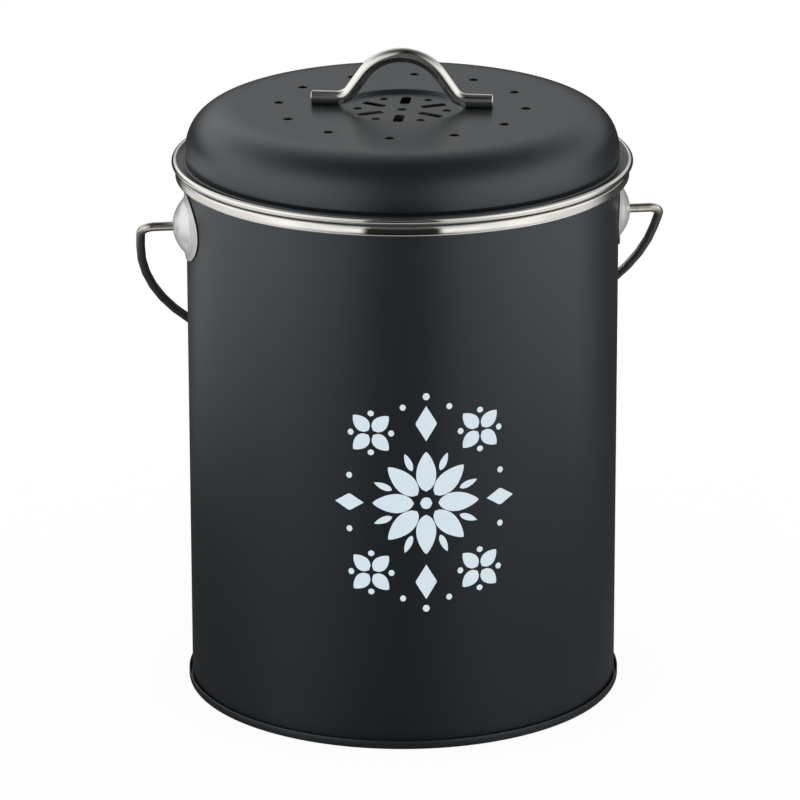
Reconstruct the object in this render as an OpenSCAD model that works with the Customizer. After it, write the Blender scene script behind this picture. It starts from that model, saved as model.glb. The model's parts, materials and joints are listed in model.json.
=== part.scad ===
// Round kitchen compost caddy: a rolled sheet-steel body with a swinging wire bail, a lift-out
// liner, and a domed vented lid that holds a charcoal filter behind a twist-off cover.
// Millimetres, +Z up. The origin is the centre of the foot, the bail ears stand on the X axis.

/* [Body] */
// Outer diameter of the rolled body
body_d = 180; // [168:1:200]
// Height from the table to the top of the body's rim
body_h = 225.2; // [190:0.1:280]
// Thickness of the body sheet
body_wall = 0.8; // [0.5:0.1:1.2]
// Width of the lap seam down the back
seam_w = 7; // [4:0.5:12]
// How far the lap seam stands proud
seam_t = 0.35; // [0.1:0.05:0.5]
// Radius of the curled hem under the rim band
hem_r = 1.75; // [1.4:0.05:2]
// Thickness of the curl
hem_wall = 0.5; // [0.4:0.05:0.6]

/* [Base] */
// How far the foot bead stands out from the body
bead_out = 1.5; // [0.8:0.1:3]
// Height of the foot bead
bead_h = 2.8; // [2:0.1:5]
// Thickness of the base sheet
base_wall = 0.7; // [0.5:0.1:1.2]
// How far the base floor is set up from the table
base_rise = 3.3; // [2.6:0.1:6]
// Radius of the pressed step in the base floor
base_step_r = 68; // [40:1:74]
// Height of the pressed step in the base floor
base_step_h = 1.5; // [0.5:0.1:2.5]

/* [Rim band] */
// How far the rim band stands out from the body
rim_out = 4.3; // [4.2:0.1:6]
// Height of the rim band's outer face
rim_h = 4.5; // [4.3:0.1:7]
// Thickness of the rim band sheet
rim_wall = 0.6; // [0.4:0.1:0.8]
// Corner radius of the rim band
rim_round = 1.2; // [0.8:0.1:1.5]
// Chamfer at the band's inner edge
rim_chamfer = 0.4; // [0.2:0.1:0.5]
// Width of the lip turned in under the band
rim_lip = 0.5; // [0.3:0.1:1]
// How far the rim band's inner leg reaches down inside the body
rim_leg = 9; // [6:0.5:14]

/* [Ears] */
// Depth of the bail axis below the top of the rim
pivot_drop = 23.1; // [21:0.1:34]
// Diameter of the ear's dome at the body
ear_dome_d = 24.5; // [20:0.5:30]
// Height of the ear's dome above the body
ear_dome_h = 6; // [5:0.1:9]
// Width of the ear's oval flange, around the body
ear_flange_w = 43; // [32:0.5:50]
// Height of the ear's oval flange
ear_flange_h = 28.4; // [27:0.1:34]
// Thickness of the ear sheet
ear_wall = 0.8; // [0.6:0.1:1.2]

/* [Bail] */
// Diameter of the bail wire
wire_d = 3.7; // [3:0.1:4.5]
// Distance from the body to the bail's side legs, on the wire's centre line
bail_side_gap = 19.3; // [15:0.1:24]
// Angle of the resting bail below the horizontal
bail_rest = 45; // [40:1:50]
// Clearance between the resting bail and the back of the body
bail_rest_gap = 1.2; // [0.8:0.1:1.6]
// Radius of the tight bend beside each ear
corner_bend_r = 5; // [3:0.5:6]
// Inward lean of the straight side legs, in degrees
side_lean = 2.5; // [0:0.5:4]
// Radius of the long bend that closes the sides in
shoulder_bend_r = 120; // [105:1:122]
// Angle that the long bend turns through
shoulder_bend_a = 58; // [56:1:62]
// Radius of the bend at the middle of the bail
apex_bend_r = 68; // [66:1:76]
// Diameter of the upset heads inside the ears
head_d = 7; // [5.5:0.1:9]
// Thickness of the upset heads
head_t = 1.3; // [0.8:0.1:1.8]
// Play between a head and the inside of the ear
head_play = 0.9; // [0.7:0.1:1.2]
// Clearance between the wire and its hole, on the radius
wire_fit = 0.05; // [0.03:0.01:0.1]

/* [Liner] */
// Wall thickness of the liner
liner_wall = 1.6; // [1:0.1:2.2]
// Clearance between the liner and the rim band's inner leg
liner_gap = 0.6; // [0.4:0.1:1.2]
// How much the liner's radius narrows towards its floor
liner_taper = 5.5; // [2:0.5:9]
// Height of the liner's floor above the base floor
liner_clear = 8; // [4:0.5:14]
// Thickness of the liner's lip
liner_lip_t = 0.9; // [0.7:0.1:1.4]
// How far the liner's lip stops short of the rim band's outer face
liner_lip_in = 0.8; // [0.6:0.1:1.6]
// Radius of the liner's lower corner
liner_round = 7; // [4:0.5:10]

/* [Lid] */
// Height of the lid's flat top above the lid's seat
lid_h = 24.1; // [20:0.1:36]
// Thickness of the lid sheet
lid_wall = 0.6; // [0.5:0.1:0.7]
// Turn of the lid on the body, in degrees
lid_turn = -13.4; // [-180:0.1:180]
// Thickness of the trim ring's bead
ring_d = 2.8; // [2.6:0.1:3.4]
// How far the trim ring stands out from the rim band
ring_over = 1.5; // [0.8:0.1:2.4]
// How far the lid's edge reaches into the trim ring
ring_bite = 1; // [0.8:0.1:1.2]
// Width of flat flange inside the trim ring
flange_show = 3.7; // [3:0.1:6]
// Radius of the fillet at the foot of the dome
foot_fillet = 2.2; // [1.5:0.1:2.8]
// Width of the dome's rounded shoulder
shoulder_w = 18; // [12:0.5:20]
// Roundness of the shoulder, where 2 is an ellipse
shoulder_pow = 2.1; // [2:0.05:2.6]
// Thickness of the silicone seal
seal_t = 0.65; // [0.5:0.05:0.8]
// Width of the silicone seal
seal_w = 6; // [4:0.5:6.5]
// How far the seal stops short of the trim ring
seal_in = 0.4; // [0.3:0.1:0.6]
// Depth of the locating collar below the seal
collar_depth = 11; // [6:0.5:20]
// Clearance between the locating collar and the liner
collar_gap = 0.8; // [0.6:0.1:1.5]

/* [Vents] */
// Diameter of the outer vent holes
vent_d = 4; // [2.5:0.1:4.5]
// Radius of the circle of outer vent holes
vent_r = 51.4; // [48:0.1:51.4]
// Number of outer vent holes
vent_n = 12; // [8:1:16]
// Radius of the recess in the middle of the lid
recess_r = 26.5; // [26:0.1:28]
// Depth of the recess
recess_depth = 1.7; // [1:0.1:2.2]
// Width of the recess's sloping wall
recess_slope = 1.6; // [0.8:0.1:2.4]
// Number of slots in the recess
slot_n = 6; // [4:1:7]
// Width of the recess slots
slot_w = 4; // [3:0.1:5]
// Corner radius of the recess slots
slot_round = 1.2; // [0.6:0.1:1.4]
// Distance from the middle to a slot's inner end
slot_in = 8.9; // [8:0.1:10]
// Length of the recess slots
slot_len = 11; // [8:0.1:12]
// Diameter of the small holes in the recess
dot_d = 3.6; // [2.5:0.1:4]
// Radius of the circle of small holes
dot_r = 18.6; // [17:0.1:19.5]

/* [Lid handle] */
// Diameter of the handle rod
rod_d = 5.9; // [5:0.1:7]
// Overall length of the handle
handle_len = 75.6; // [74:0.1:88]
// Distance from the middle to the inner end of a foot
foot_in = 27.2; // [25:0.1:29]
// Slope of the handle's straight flanks, in degrees
flank_a = 55; // [50:1:60]
// Height of the arch above the lid's flat top
arch_h = 24.4; // [22:0.1:27]
// Radius of the bends above the feet
foot_bend_r = 7; // [5:0.5:9]
// Depth of the flat under each foot
foot_flat = 0.3; // [0.1:0.05:0.4]
// Distance from the middle to each screw
screw_x = 32.6; // [32:0.1:34]
// Diameter of the screw shanks
screw_d = 2.5; // [2:0.1:3]
// Depth that a screw reaches into the foot
screw_in = 3.2; // [2:0.1:4]
// Diameter of the screw heads
screw_head_d = 5.6; // [5:0.1:6.4]
// Height of the screw heads
screw_head_h = 1.9; // [1.5:0.1:2.1]
// Width of the cross recess in the screw heads
cross_w = 0.7; // [0.5:0.1:1]
// Length of the cross recess
cross_len = 3.4; // [2.6:0.1:4]
// Clearance around the screws, on the radius
screw_slack = 0.2; // [0.1:0.05:0.3]
// Diameter of the washers
washer_d = 7; // [6.6:0.1:7.5]
// Thickness of the washers
washer_t = 0.6; // [0.4:0.1:0.8]

/* [Filter] */
// Thickness of the filter holder's top plate
plate_t = 1.2; // [0.8:0.1:1.6]
// Outer radius of the holder's wall
holder_r = 59.2; // [59:0.1:61]
// Wall thickness of the filter holder
holder_wall = 2; // [1.4:0.1:2.2]
// How far the top plate stands out from the wall
plate_out = 2.6; // [1.5:0.1:3]
// Clearance between the top plate and the lid's recess
plate_gap = 1.2; // [0.6:0.1:1.4]
// Height of the holder's wall below the lid
holder_h = 13; // [12:0.1:15]
// Diameter of the holder's openings under the vents
port_d = 7; // [5:0.1:8]
// Radius of the charcoal filter
filter_r = 52.6; // [50:0.1:52.6]
// Thickness of the charcoal filter
filter_t = 9; // [7:0.1:9.2]
// Thickness of the filter cover
cover_t = 1.8; // [1.2:0.1:2.4]
// Thickness of the cover's raised rim
cover_rim_t = 1.6; // [1.2:0.1:2]
// Height of the bayonet ledges
ledge_t = 1.5; // [1:0.1:2]
// How far the ledges reach in from the holder's wall
ledge_in = 1.8; // [1.4:0.1:2.2]
// Number of bayonet ledges
ledge_n = 3; // [2:1:4]
// Width of each ledge, in degrees
ledge_a = 46; // [30:1:46]
// Width of each tab, in degrees
tab_a = 38; // [20:1:38]
// Running clearance in the bayonet
bayonet_gap = 0.25; // [0.2:0.05:0.4]
// Height of the grip bar under the cover
grip_h = 9; // [6:0.5:12]
// Length of the grip bar
grip_len = 46; // [30:1:60]
// Thickness of the grip bar
grip_t = 3; // [2:0.1:5]
// Number of rings of openings in the cover
grille_rings = 3; // [2:1:4]
// Width of the cover's openings
grille_slot = 5; // [3:0.5:7]

/* [Hidden] */
$fn = 96;
over = 1;
joint_swell = 0.06;

powder_black = "#222529";
polished = "#d5d6d4";
satin_steel = "#b9b6ad";
liner_grey = "#5b5f63";
seal_grey = "#3a3c3e";
plastic_black = "#1c1d1f";
charcoal = "#2b2c2b";

// body
body_r = body_d / 2;
body_in_r = body_r - body_wall;
rim_r = body_r + rim_out;
rim_top_z = body_h;
rim_leg_r = body_in_r - rim_wall;
hem_z = rim_top_z - rim_wall - hem_r;
base_floor_z = base_rise + base_wall;

// ears and bail
pivot_z = body_h - pivot_drop;
ear_dome_r = ear_dome_d / 2;
ear_ball_r = (ear_dome_r * ear_dome_r + ear_dome_h * ear_dome_h) / (2 * ear_dome_h);
ear_ball_x = body_r + ear_dome_h - ear_ball_r;
bail_u = body_r + bail_side_gap;
bail_v = (body_r + wire_d / 2 + bail_rest_gap) / cos(bail_rest);
bail_turn = side_lean + shoulder_bend_a;
head_x = body_r + ear_dome_h - ear_wall - head_t - head_play;

// liner and lid seat
liner_r = rim_leg_r - liner_gap;
liner_z = base_floor_z + liner_clear;
liner_top_z = rim_top_z + liner_lip_t;
lid_z = liner_top_z;
collar_r = liner_r - liner_wall - collar_gap;
collar_z = lid_z + seal_t;
flange_z = collar_z + 2 * lid_wall;
lid_top_z = lid_z + lid_h;
lid_under_z = lid_top_z - lid_wall;
ring_c = rim_r + ring_over - ring_d / 2;
ring_in = ring_c - ring_bite / 2;
flange_edge_r = ring_c + ring_bite / 2;
dome_r = ring_in - flange_show;
dome_foot_z = flange_z + foot_fillet;
shoulder_c = dome_r - shoulder_w;
shoulder_h = lid_top_z - dome_foot_z;
recess_z = lid_top_z - recess_depth;

// lid handle
rod_z = lid_top_z + rod_d / 2 - foot_flat;
arch_rise = lid_top_z + arch_h - rod_d / 2 - rod_z;
bends_r = (foot_in * sin(flank_a) - arch_rise * cos(flank_a)) / (1 - cos(flank_a));
arch_r = bends_r - foot_bend_r;
tap_spare = 0.4;

// filter
plate_z = lid_under_z - plate_t;
plate_hole_r = recess_r + lid_wall + plate_gap;
plate_r = holder_r + plate_out;
washer_z = plate_z - washer_t;
head_z = washer_z - screw_head_h;
holder_z = lid_under_z - holder_h;
holder_in_r = holder_r - holder_wall;
ledge_r = holder_in_r - ledge_in;
cover_z = holder_z - bayonet_gap - cover_t;
cover_rim_r = ledge_r - bayonet_gap;
// the ledges stop this far short of the wall's lower edge
ledge_up = 0.3;
tab_z = holder_z + ledge_t + bayonet_gap;
filter_z = cover_z + cover_t + bayonet_gap;

// ---- helpers ----

// Points of an arc from angle a0 to a1
function arc(cx, cy, r, a0, a1, n) =
    [for (i = [0 : n]) [cx + r * cos(a0 + (a1 - a0) * i / n), cy + r * sin(a0 + (a1 - a0) * i / n)]];

// Points of the dome's shoulder, from the flat top out to the foot, set in by the sheet's thickness
function shoulder(inset) =
    [for (a = [90 : -5 : 0])
        [shoulder_c + (shoulder_w - inset) * pow(cos(a), 2 / shoulder_pow),
         dome_foot_z + (shoulder_h - inset) * pow(sin(a), 2 / shoulder_pow)]];

function reversed(points) = [for (i = [len(points) - 1 : -1 : 0]) points[i]];

// A flat ring about the Z axis
module ring(r_in, r_out, z, h) {
    translate([0, 0, z]) difference() {
        cylinder(r = r_out, h = h);
        translate([0, 0, -over]) cylinder(r = r_in, h = h + 2 * over);
    }
}

// Equal sectors of a flat ring, spaced around the Z axis
module ring_sectors(r_in, r_out, z, h, count, width) {
    for (i = [0 : count - 1])
        rotate([0, 0, i * 360 / count - width / 2])
            translate([0, 0, z])
                rotate_extrude(angle = width) translate([r_in, 0]) square([r_out - r_in, h]);
}

// A ball at a joint between two lengths of rod, a hair over size so that they make one solid.
// Its poles lie along the rod, which runs at the given angle
module rod_joint(at, way, d) {
    translate([at[0], at[1], 0])
        rotate([0, 0, way]) rotate([0, 90, 0]) rotate([0, 0, 45]) sphere(d = d + joint_swell);
}

// A straight length of rod in the XY plane
module rod_run(from, to, d) {
    step = to - from;
    translate([from[0], from[1], 0])
        rotate([0, 0, atan2(step[1], step[0])])
            rotate([0, 90, 0]) cylinder(d = d, h = norm(step));
}

// A bend of rod in the XY plane, about its centre, from angle a0 through the given turn
module rod_bend(centre, r, a0, turn, d) {
    translate([centre[0], centre[1], 0])
        rotate([0, 0, a0])
            rotate_extrude(angle = turn) translate([r, 0]) circle(d = d);
}

module rounded_slot(length, width, corner) {
    for (x = [corner, length - corner], y = [-1, 1])
        translate([x, y * (width / 2 - corner)]) circle(r = corner, $fn = 24);
    translate([corner, -width / 2]) square([length - 2 * corner, width]);
    translate([0, corner - width / 2]) square([length, width - 2 * corner]);
}

module on_lid() {
    rotate([0, 0, lid_turn]) children();
}

// ---- body ----

module body_shell() {
    color(powder_black) {
        difference() {
            union() {
                ring(body_in_r, body_r, base_wall, rim_top_z - rim_wall - base_wall);
                translate([0, 0, hem_z])
                    rotate_extrude() translate([body_r + hem_r - body_wall / 2, 0]) circle(r = hem_r);
            }
            // the hollow of the curl, and the slit where its edge comes back to the wall
            translate([0, 0, hem_z])
                rotate_extrude() translate([body_r + hem_r - body_wall / 2, 0])
                    circle(r = hem_r - hem_wall);
            ring(body_r, body_r + hem_r - body_wall, hem_z - hem_r - over, hem_r + over);
        }
        back_seam();
    }
}

// Lap of the rolled sheet, on the side away from the front
module back_seam() {
    seam_a = seam_w / body_r * 180 / PI;
    rotate([0, 0, 90 - seam_a / 2])
        translate([0, 0, bead_h])
            rotate_extrude(angle = seam_a)
                translate([body_r - body_wall / 2, 0])
                    square([seam_t + body_wall / 2, hem_z - hem_r - bead_h - over]);
}

module base_pan() {
    foot_r = body_r + bead_out;
    pan_r = body_in_r - base_wall;
    bead_c = bead_out * 0.6;
    color(powder_black)
        rotate_extrude()
            polygon(concat(
                [[0, base_rise + base_step_h], [base_step_r - base_step_h, base_rise + base_step_h],
                 [base_step_r, base_rise], [pan_r - base_wall, base_rise], [pan_r - base_wall, 0]],
                [[foot_r - bead_c, 0]],
                arc(foot_r - bead_c, bead_c, bead_c, -90, 0, 6),
                arc(foot_r - bead_c, bead_h - bead_c, bead_c, 0, 90, 6),
                [[body_r, bead_h], [body_r, base_wall], [body_in_r, base_wall],
                 [body_in_r, base_floor_z], [base_step_r, base_floor_z],
                 [base_step_r - base_step_h, base_floor_z + base_step_h], [0, base_floor_z + base_step_h]]));
}

// Polished channel that closes over the body's hem
module rim_band() {
    rim_z = rim_top_z - rim_h;
    inner = rim_round - rim_wall;
    color(polished)
        rotate_extrude()
            polygon(concat(
                [[rim_leg_r, rim_top_z - rim_leg], [rim_leg_r, rim_top_z - rim_chamfer],
                 [rim_leg_r + rim_chamfer, rim_top_z]],
                arc(rim_r - rim_round, rim_top_z - rim_round, rim_round, 90, 0, 8),
                arc(rim_r - rim_round, rim_z + rim_round, rim_round, 0, -90, 8),
                [[rim_r - rim_round - rim_lip, rim_z], [rim_r - rim_round - rim_lip, rim_z + rim_wall]],
                arc(rim_r - rim_round, rim_z + rim_round, inner, -90, 0, 8),
                arc(rim_r - rim_round, rim_top_z - rim_round, inner, 0, 90, 8),
                [[body_in_r, rim_top_z - rim_wall], [body_in_r, rim_top_z - rim_leg]]));
}

// Pressed dome on the +X side, with a flange that follows the body
module ear() {
    difference() {
        union() {
            ear_dome();
            ear_flange();
        }
        translate([body_r, 0, pivot_z])
            rotate([0, 90, 0]) cylinder(r = wire_d / 2 + wire_fit, h = 2 * ear_dome_h);
    }
}

// The dome is cut to the body's curve; the cutter's seam is turned away from the dome
module ear_dome() {
    skirt = 1.2;
    difference() {
        translate([ear_ball_x, 0, pivot_z])
            rotate([0, 90, 0])
                rotate_extrude()
                    intersection() {
                        difference() {
                            circle(r = ear_ball_r);
                            circle(r = ear_ball_r - ear_wall);
                        }
                        translate([0, body_r - skirt - ear_ball_x])
                            square([ear_dome_r, ear_dome_h + 2 * skirt]);
                    }
        rotate([0, 0, 135])
            translate([0, 0, pivot_z - ear_dome_d]) cylinder(r = body_r, h = 2 * ear_dome_d);
    }
}

module ear_flange() {
    intersection() {
        ring(body_r, body_r + ear_wall, pivot_z - ear_flange_h, 2 * ear_flange_h);
        translate([body_r / 2, 0, pivot_z])
            rotate([0, 90, 0])
                linear_extrude(body_r)
                    difference() {
                        polygon([for (a = [0 : 7.5 : 352.5])
                            [ear_flange_h / 2 * cos(a), ear_flange_w / 2 * sin(a)]]);
                        circle(r = ear_dome_r - 1.5 * ear_wall);
                    }
    }
}

module ear_right() {
    color(polished) ear();
}

module ear_left() {
    color(polished) mirror([1, 0, 0]) ear();
}

// ---- bail ----

// Half of the bail in the XY plane, up to the bend at its middle: X towards the ear, Y towards the
// middle of the bail
module bail_half() {
    corner_turn = 90 + side_lean;
    corner_t = corner_bend_r * tan(corner_turn / 2);
    corner_end = [bail_u, 0] + corner_t * [-sin(side_lean), cos(side_lean)];
    long_bend = shoulder_bend_r * [cos(bail_turn) - cos(side_lean), sin(bail_turn) - sin(side_lean)];
    top_bend = apex_bend_r * [-cos(bail_turn), 1 - sin(bail_turn)];
    // the two straights between the bends make up what is left of the way
    rest = [0, bail_v] - corner_end - long_bend - top_bend;
    det = sin(shoulder_bend_a);
    run_2 = (-rest[0] * cos(side_lean) - rest[1] * sin(side_lean)) / det;
    run_1 = (rest[1] * sin(bail_turn) + rest[0] * cos(bail_turn)) / det;
    side_end = corner_end + run_1 * [-sin(side_lean), cos(side_lean)];
    long_end = side_end + long_bend;
    top_start = long_end + run_2 * [-sin(bail_turn), cos(bail_turn)];

    rod_run([head_x, 0], [bail_u - corner_t, 0], wire_d);
    translate([head_x, 0, 0]) rotate([0, 90, 0]) cylinder(d = head_d, h = head_t);
    rod_bend([bail_u - corner_t, corner_bend_r], corner_bend_r, -90, corner_turn, wire_d);
    rod_run(corner_end, side_end, wire_d);
    rod_bend(side_end - shoulder_bend_r * [cos(side_lean), sin(side_lean)],
        shoulder_bend_r, side_lean, shoulder_bend_a, wire_d);
    rod_run(long_end, top_start, wire_d);
    rod_joint([bail_u - corner_t, 0], 0, wire_d);
    for (at = [corner_end, side_end]) rod_joint(at, 90 + side_lean, wire_d);
    for (at = [long_end, top_start]) rod_joint(at, 90 + bail_turn, wire_d);
}

module bail() {
    color(satin_steel)
        translate([0, 0, pivot_z]) rotate([-bail_rest, 0, 0]) {
            bail_half();
            mirror([1, 0, 0]) bail_half();
            rod_bend([0, bail_v - apex_bend_r], apex_bend_r, bail_turn, 180 - 2 * bail_turn, wire_d);
        }
}

// ---- liner ----

module liner_bucket() {
    low_r = liner_r - liner_taper;
    color(liner_grey)
        rotate_extrude()
            polygon(concat(
                [[0, liner_z]],
                arc(low_r - liner_round, liner_z + liner_round, liner_round, -90, 0, 8),
                [[liner_r, rim_top_z - rim_leg / 2], [liner_r, rim_top_z], [rim_r - liner_lip_in, rim_top_z],
                 [rim_r - liner_lip_in, liner_top_z], [liner_r - liner_wall, liner_top_z],
                 [liner_r - liner_wall, rim_top_z - rim_leg / 2]],
                arc(low_r - liner_round, liner_z + liner_round, liner_round - liner_wall, 0, -90, 8),
                [[0, liner_z + liner_wall]]));
}

// ---- lid ----

module lid_shell() {
    outer = concat(
        [[0, recess_z], [recess_r - recess_slope, recess_z], [recess_r, lid_top_z]],
        shoulder(0),
        arc(dome_r + foot_fillet, dome_foot_z, foot_fillet, 180, 270, 6),
        [[flange_edge_r, flange_z]]);
    inner = concat(
        [[0, recess_z - lid_wall], [recess_r - recess_slope + lid_wall / 2, recess_z - lid_wall],
         [recess_r + lid_wall / 2, lid_under_z]],
        shoulder(lid_wall),
        arc(dome_r + foot_fillet, dome_foot_z, foot_fillet + lid_wall, 180, 270, 6),
        [[flange_edge_r, flange_z - lid_wall]]);
    color(powder_black) on_lid()
        difference() {
            rotate_extrude() polygon(concat(outer, reversed(inner)));
            vents();
            screw_holes(screw_d / 2 + screw_slack);
        }
}

module vents() {
    low = recess_z - 2 * over;
    for (i = [0 : vent_n - 1])
        rotate([0, 0, i * 360 / vent_n]) translate([vent_r, 0, low]) cylinder(d = vent_d, h = lid_h);
    translate([0, 0, low]) cylinder(d = vent_d, h = lid_h);
    for (i = [0 : slot_n - 1]) {
        rotate([0, 0, (i + 0.5) * 360 / slot_n])
            translate([slot_in, 0, low]) linear_extrude(lid_h) rounded_slot(slot_len, slot_w, slot_round);
        rotate([0, 0, i * 360 / slot_n]) translate([dot_r, 0, low]) cylinder(d = dot_d, h = lid_h);
    }
}

module screw_holes(r) {
    for (x = [-screw_x, screw_x])
        translate([x, 0, plate_z - over]) cylinder(r = r, h = plate_t + lid_wall + screw_in + over);
}

// Rolled bead that closes over the edges of the lid and its collar
module lid_trim_ring() {
    color(polished)
        rotate_extrude()
            difference() {
                translate([ring_c, lid_z + ring_d / 2]) circle(d = ring_d);
                translate([0, lid_z - over]) square([ring_in, ring_d + 2 * over]);
                translate([0, collar_z]) square([flange_edge_r, 2 * lid_wall]);
            }
}

// Locating collar: a flange under the lid's flange and a wall that drops inside the liner
module lid_collar() {
    color(polished) {
        ring(collar_r - lid_wall, flange_edge_r, collar_z, lid_wall);
        ring(collar_r - lid_wall, collar_r, lid_z - collar_depth, collar_depth + seal_t);
    }
}

module lid_seal() {
    color(seal_grey) ring(ring_in - seal_in - seal_w, ring_in - seal_in, lid_z, seal_t);
}

// Bent rod with straight feet, two foot bends, straight flanks and one arch, drawn flat and stood up
module lid_handle() {
    end_x = handle_len / 2;
    flank_low = [foot_in - foot_bend_r * sin(flank_a), foot_bend_r * (1 - cos(flank_a))];
    flank_top = [arch_r * sin(flank_a), arch_rise - arch_r * (1 - cos(flank_a))];
    color(polished) on_lid()
        difference() {
            translate([0, 0, rod_z]) rotate([90, 0, 0]) {
                for (side = [0, 1]) mirror([side, 0, 0]) {
                    rod_run([foot_in, 0], [end_x, 0], rod_d);
                    rod_bend([foot_in, foot_bend_r], foot_bend_r, 270 - flank_a, flank_a, rod_d);
                    rod_run(flank_low, flank_top, rod_d);
                    rod_joint([foot_in, 0], 0, rod_d);
                    for (at = [flank_low, flank_top]) rod_joint(at, -flank_a, rod_d);
                }
                rod_bend([0, arch_rise - arch_r], arch_r, 90 - flank_a, 2 * flank_a, rod_d);
            }
            translate([-handle_len, -rod_d, lid_top_z - rod_d]) cube([2 * handle_len, 2 * rod_d, rod_d]);
            screw_holes(screw_d / 2 + wire_fit);
        }
}

module handle_screws() {
    color(satin_steel) on_lid()
        for (x = [-screw_x, screw_x])
            translate([x, 0, head_z]) {
                difference() {
                    cylinder(d = screw_head_d, h = screw_head_h);
                    // cross recess
                    for (turn = [0, 90])
                        rotate([0, 0, turn])
                            translate([-cross_len / 2, -cross_w / 2, -over])
                                cube([cross_len, cross_w, over + screw_head_h / 2]);
                }
                cylinder(d = screw_d, h = lid_top_z - head_z + screw_in - tap_spare);
            }
}

module handle_washers() {
    color(satin_steel) on_lid()
        for (x = [-screw_x, screw_x])
            translate([x, 0, 0]) ring(screw_d / 2 + screw_slack, washer_d / 2, washer_z, washer_t);
}

// ---- filter ----

module filter_holder() {
    color(plastic_black) on_lid() {
        difference() {
            ring(plate_hole_r, plate_r, plate_z, plate_t);
            screw_holes(screw_d / 2 + screw_slack);
            for (i = [0 : vent_n - 1])
                rotate([0, 0, i * 360 / vent_n])
                    translate([vent_r, 0, plate_z - over]) cylinder(d = port_d, h = plate_t + 2 * over);
        }
        ring(holder_in_r, holder_r, holder_z, plate_z - holder_z);
        ring_sectors(ledge_r, holder_in_r + holder_wall / 2, holder_z + ledge_up, ledge_t - ledge_up,
            ledge_n, ledge_a);
    }
}

module charcoal_filter() {
    color(charcoal) on_lid() translate([0, 0, filter_z]) cylinder(r = filter_r, h = filter_t);
}

// Grille with a raised rim inside the holder, tabs that catch on its ledges, and a grip bar
module filter_cover() {
    color(plastic_black) on_lid() {
        difference() {
            translate([0, 0, cover_z]) cylinder(r = holder_r, h = cover_t);
            cover_openings();
        }
        ring(cover_rim_r - cover_rim_t, cover_rim_r, cover_z + cover_t, tab_z + ledge_t - cover_z - cover_t);
        ring_sectors(cover_rim_r - cover_rim_t / 2, holder_in_r - bayonet_gap, tab_z, ledge_t,
            ledge_n, tab_a);
        translate([-grip_len / 2, -grip_t / 2, cover_z - grip_h]) cube([grip_len, grip_t, grip_h]);
    }
}

module cover_openings() {
    pitch = (cover_rim_r - cover_rim_t - grip_t) / (grille_rings + 1);
    for (i = [1 : grille_rings]) {
        rotate([0, 0, 90])
            ring_sectors(i * pitch, i * pitch + grille_slot, cover_z - over, cover_t + 2 * over, 2, 130);
    }
}

body_shell();
base_pan();
rim_band();
ear_left();
ear_right();
bail();
liner_bucket();
lid_shell();
lid_trim_ring();
lid_collar();
lid_seal();
lid_handle();
handle_screws();
handle_washers();
filter_holder();
charcoal_filter();
filter_cover();
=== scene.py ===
"""Kitchen compost caddy: powder-coated steel, bright rim and lid ring, wire bail, vented lid.

Metres, +Z up, the foot stands on z = 0 and the bail's ears lie on the X axis. Sheet parts are
profiles turned about Z, wire parts are rods swept along bent centre lines, and what repeats is
set out on circles with Geometry Nodes.
"""
import json
import math

import bmesh
import bpy
from mathutils import Euler, Matrix, Vector


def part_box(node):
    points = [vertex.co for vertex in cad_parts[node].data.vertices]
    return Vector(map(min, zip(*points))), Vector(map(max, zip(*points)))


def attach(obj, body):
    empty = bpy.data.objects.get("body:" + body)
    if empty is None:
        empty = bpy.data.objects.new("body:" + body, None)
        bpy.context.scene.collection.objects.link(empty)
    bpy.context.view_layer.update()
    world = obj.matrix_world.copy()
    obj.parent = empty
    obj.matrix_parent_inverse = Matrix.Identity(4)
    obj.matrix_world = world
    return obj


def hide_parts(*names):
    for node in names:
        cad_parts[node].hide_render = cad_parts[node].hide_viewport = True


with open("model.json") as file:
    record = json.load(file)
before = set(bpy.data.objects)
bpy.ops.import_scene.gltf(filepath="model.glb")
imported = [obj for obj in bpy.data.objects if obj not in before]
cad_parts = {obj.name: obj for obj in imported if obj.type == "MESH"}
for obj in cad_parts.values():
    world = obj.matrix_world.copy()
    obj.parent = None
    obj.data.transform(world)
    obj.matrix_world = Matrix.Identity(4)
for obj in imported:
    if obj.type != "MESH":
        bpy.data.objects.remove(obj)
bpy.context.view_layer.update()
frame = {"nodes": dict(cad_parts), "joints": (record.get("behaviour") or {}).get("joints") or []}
MM = 0.001


def low(node):
    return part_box(node)[0]


def high(node):
    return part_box(node)[1]


# ---- sizes ----

# body, foot and rim
SHEET = 0.8 * MM
BEAD_OUT = 1.5 * MM
BODY_R = high("base_pan").x - BEAD_OUT
BODY_IN_R = BODY_R - SHEET
PAN_SHEET = 0.55 * MM
PAN_BEND = 1 * MM
BEAD_H = 3.5 * MM
BEAD_ROUND = 0.9 * MM
PAN_FLOOR_Z = 4.0 * MM
PAN_STEP_R = 68 * MM
PAN_STEP = 1.5 * MM
PAN_STEP_BEND = 1.2 * MM
BAND_R = high("rim_band").x
BAND_TOP = high("rim_band").z
BAND_LEG_Z = low("rim_band").z
BAND_H = 4.5 * MM
BAND_SHEET = 0.6 * MM
BAND_ROUND = 1.2 * MM
BAND_LIP = 0.5 * MM
BAND_LEG_BEND = 0.5 * MM
HEM_R = 1.75 * MM
HEM_SHEET = 0.5 * MM
SEAM_W = 7 * MM
SEAM_T = 0.35 * MM
SEAM_GAP = 1 * MM
SEAM_EDGE = 0.12  # share of half the lap's width in which it rises to its full thickness
WELD_COUNT = 17
WELD_R = 1.3 * MM
WELD_DEPTH = 0.16 * MM

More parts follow.
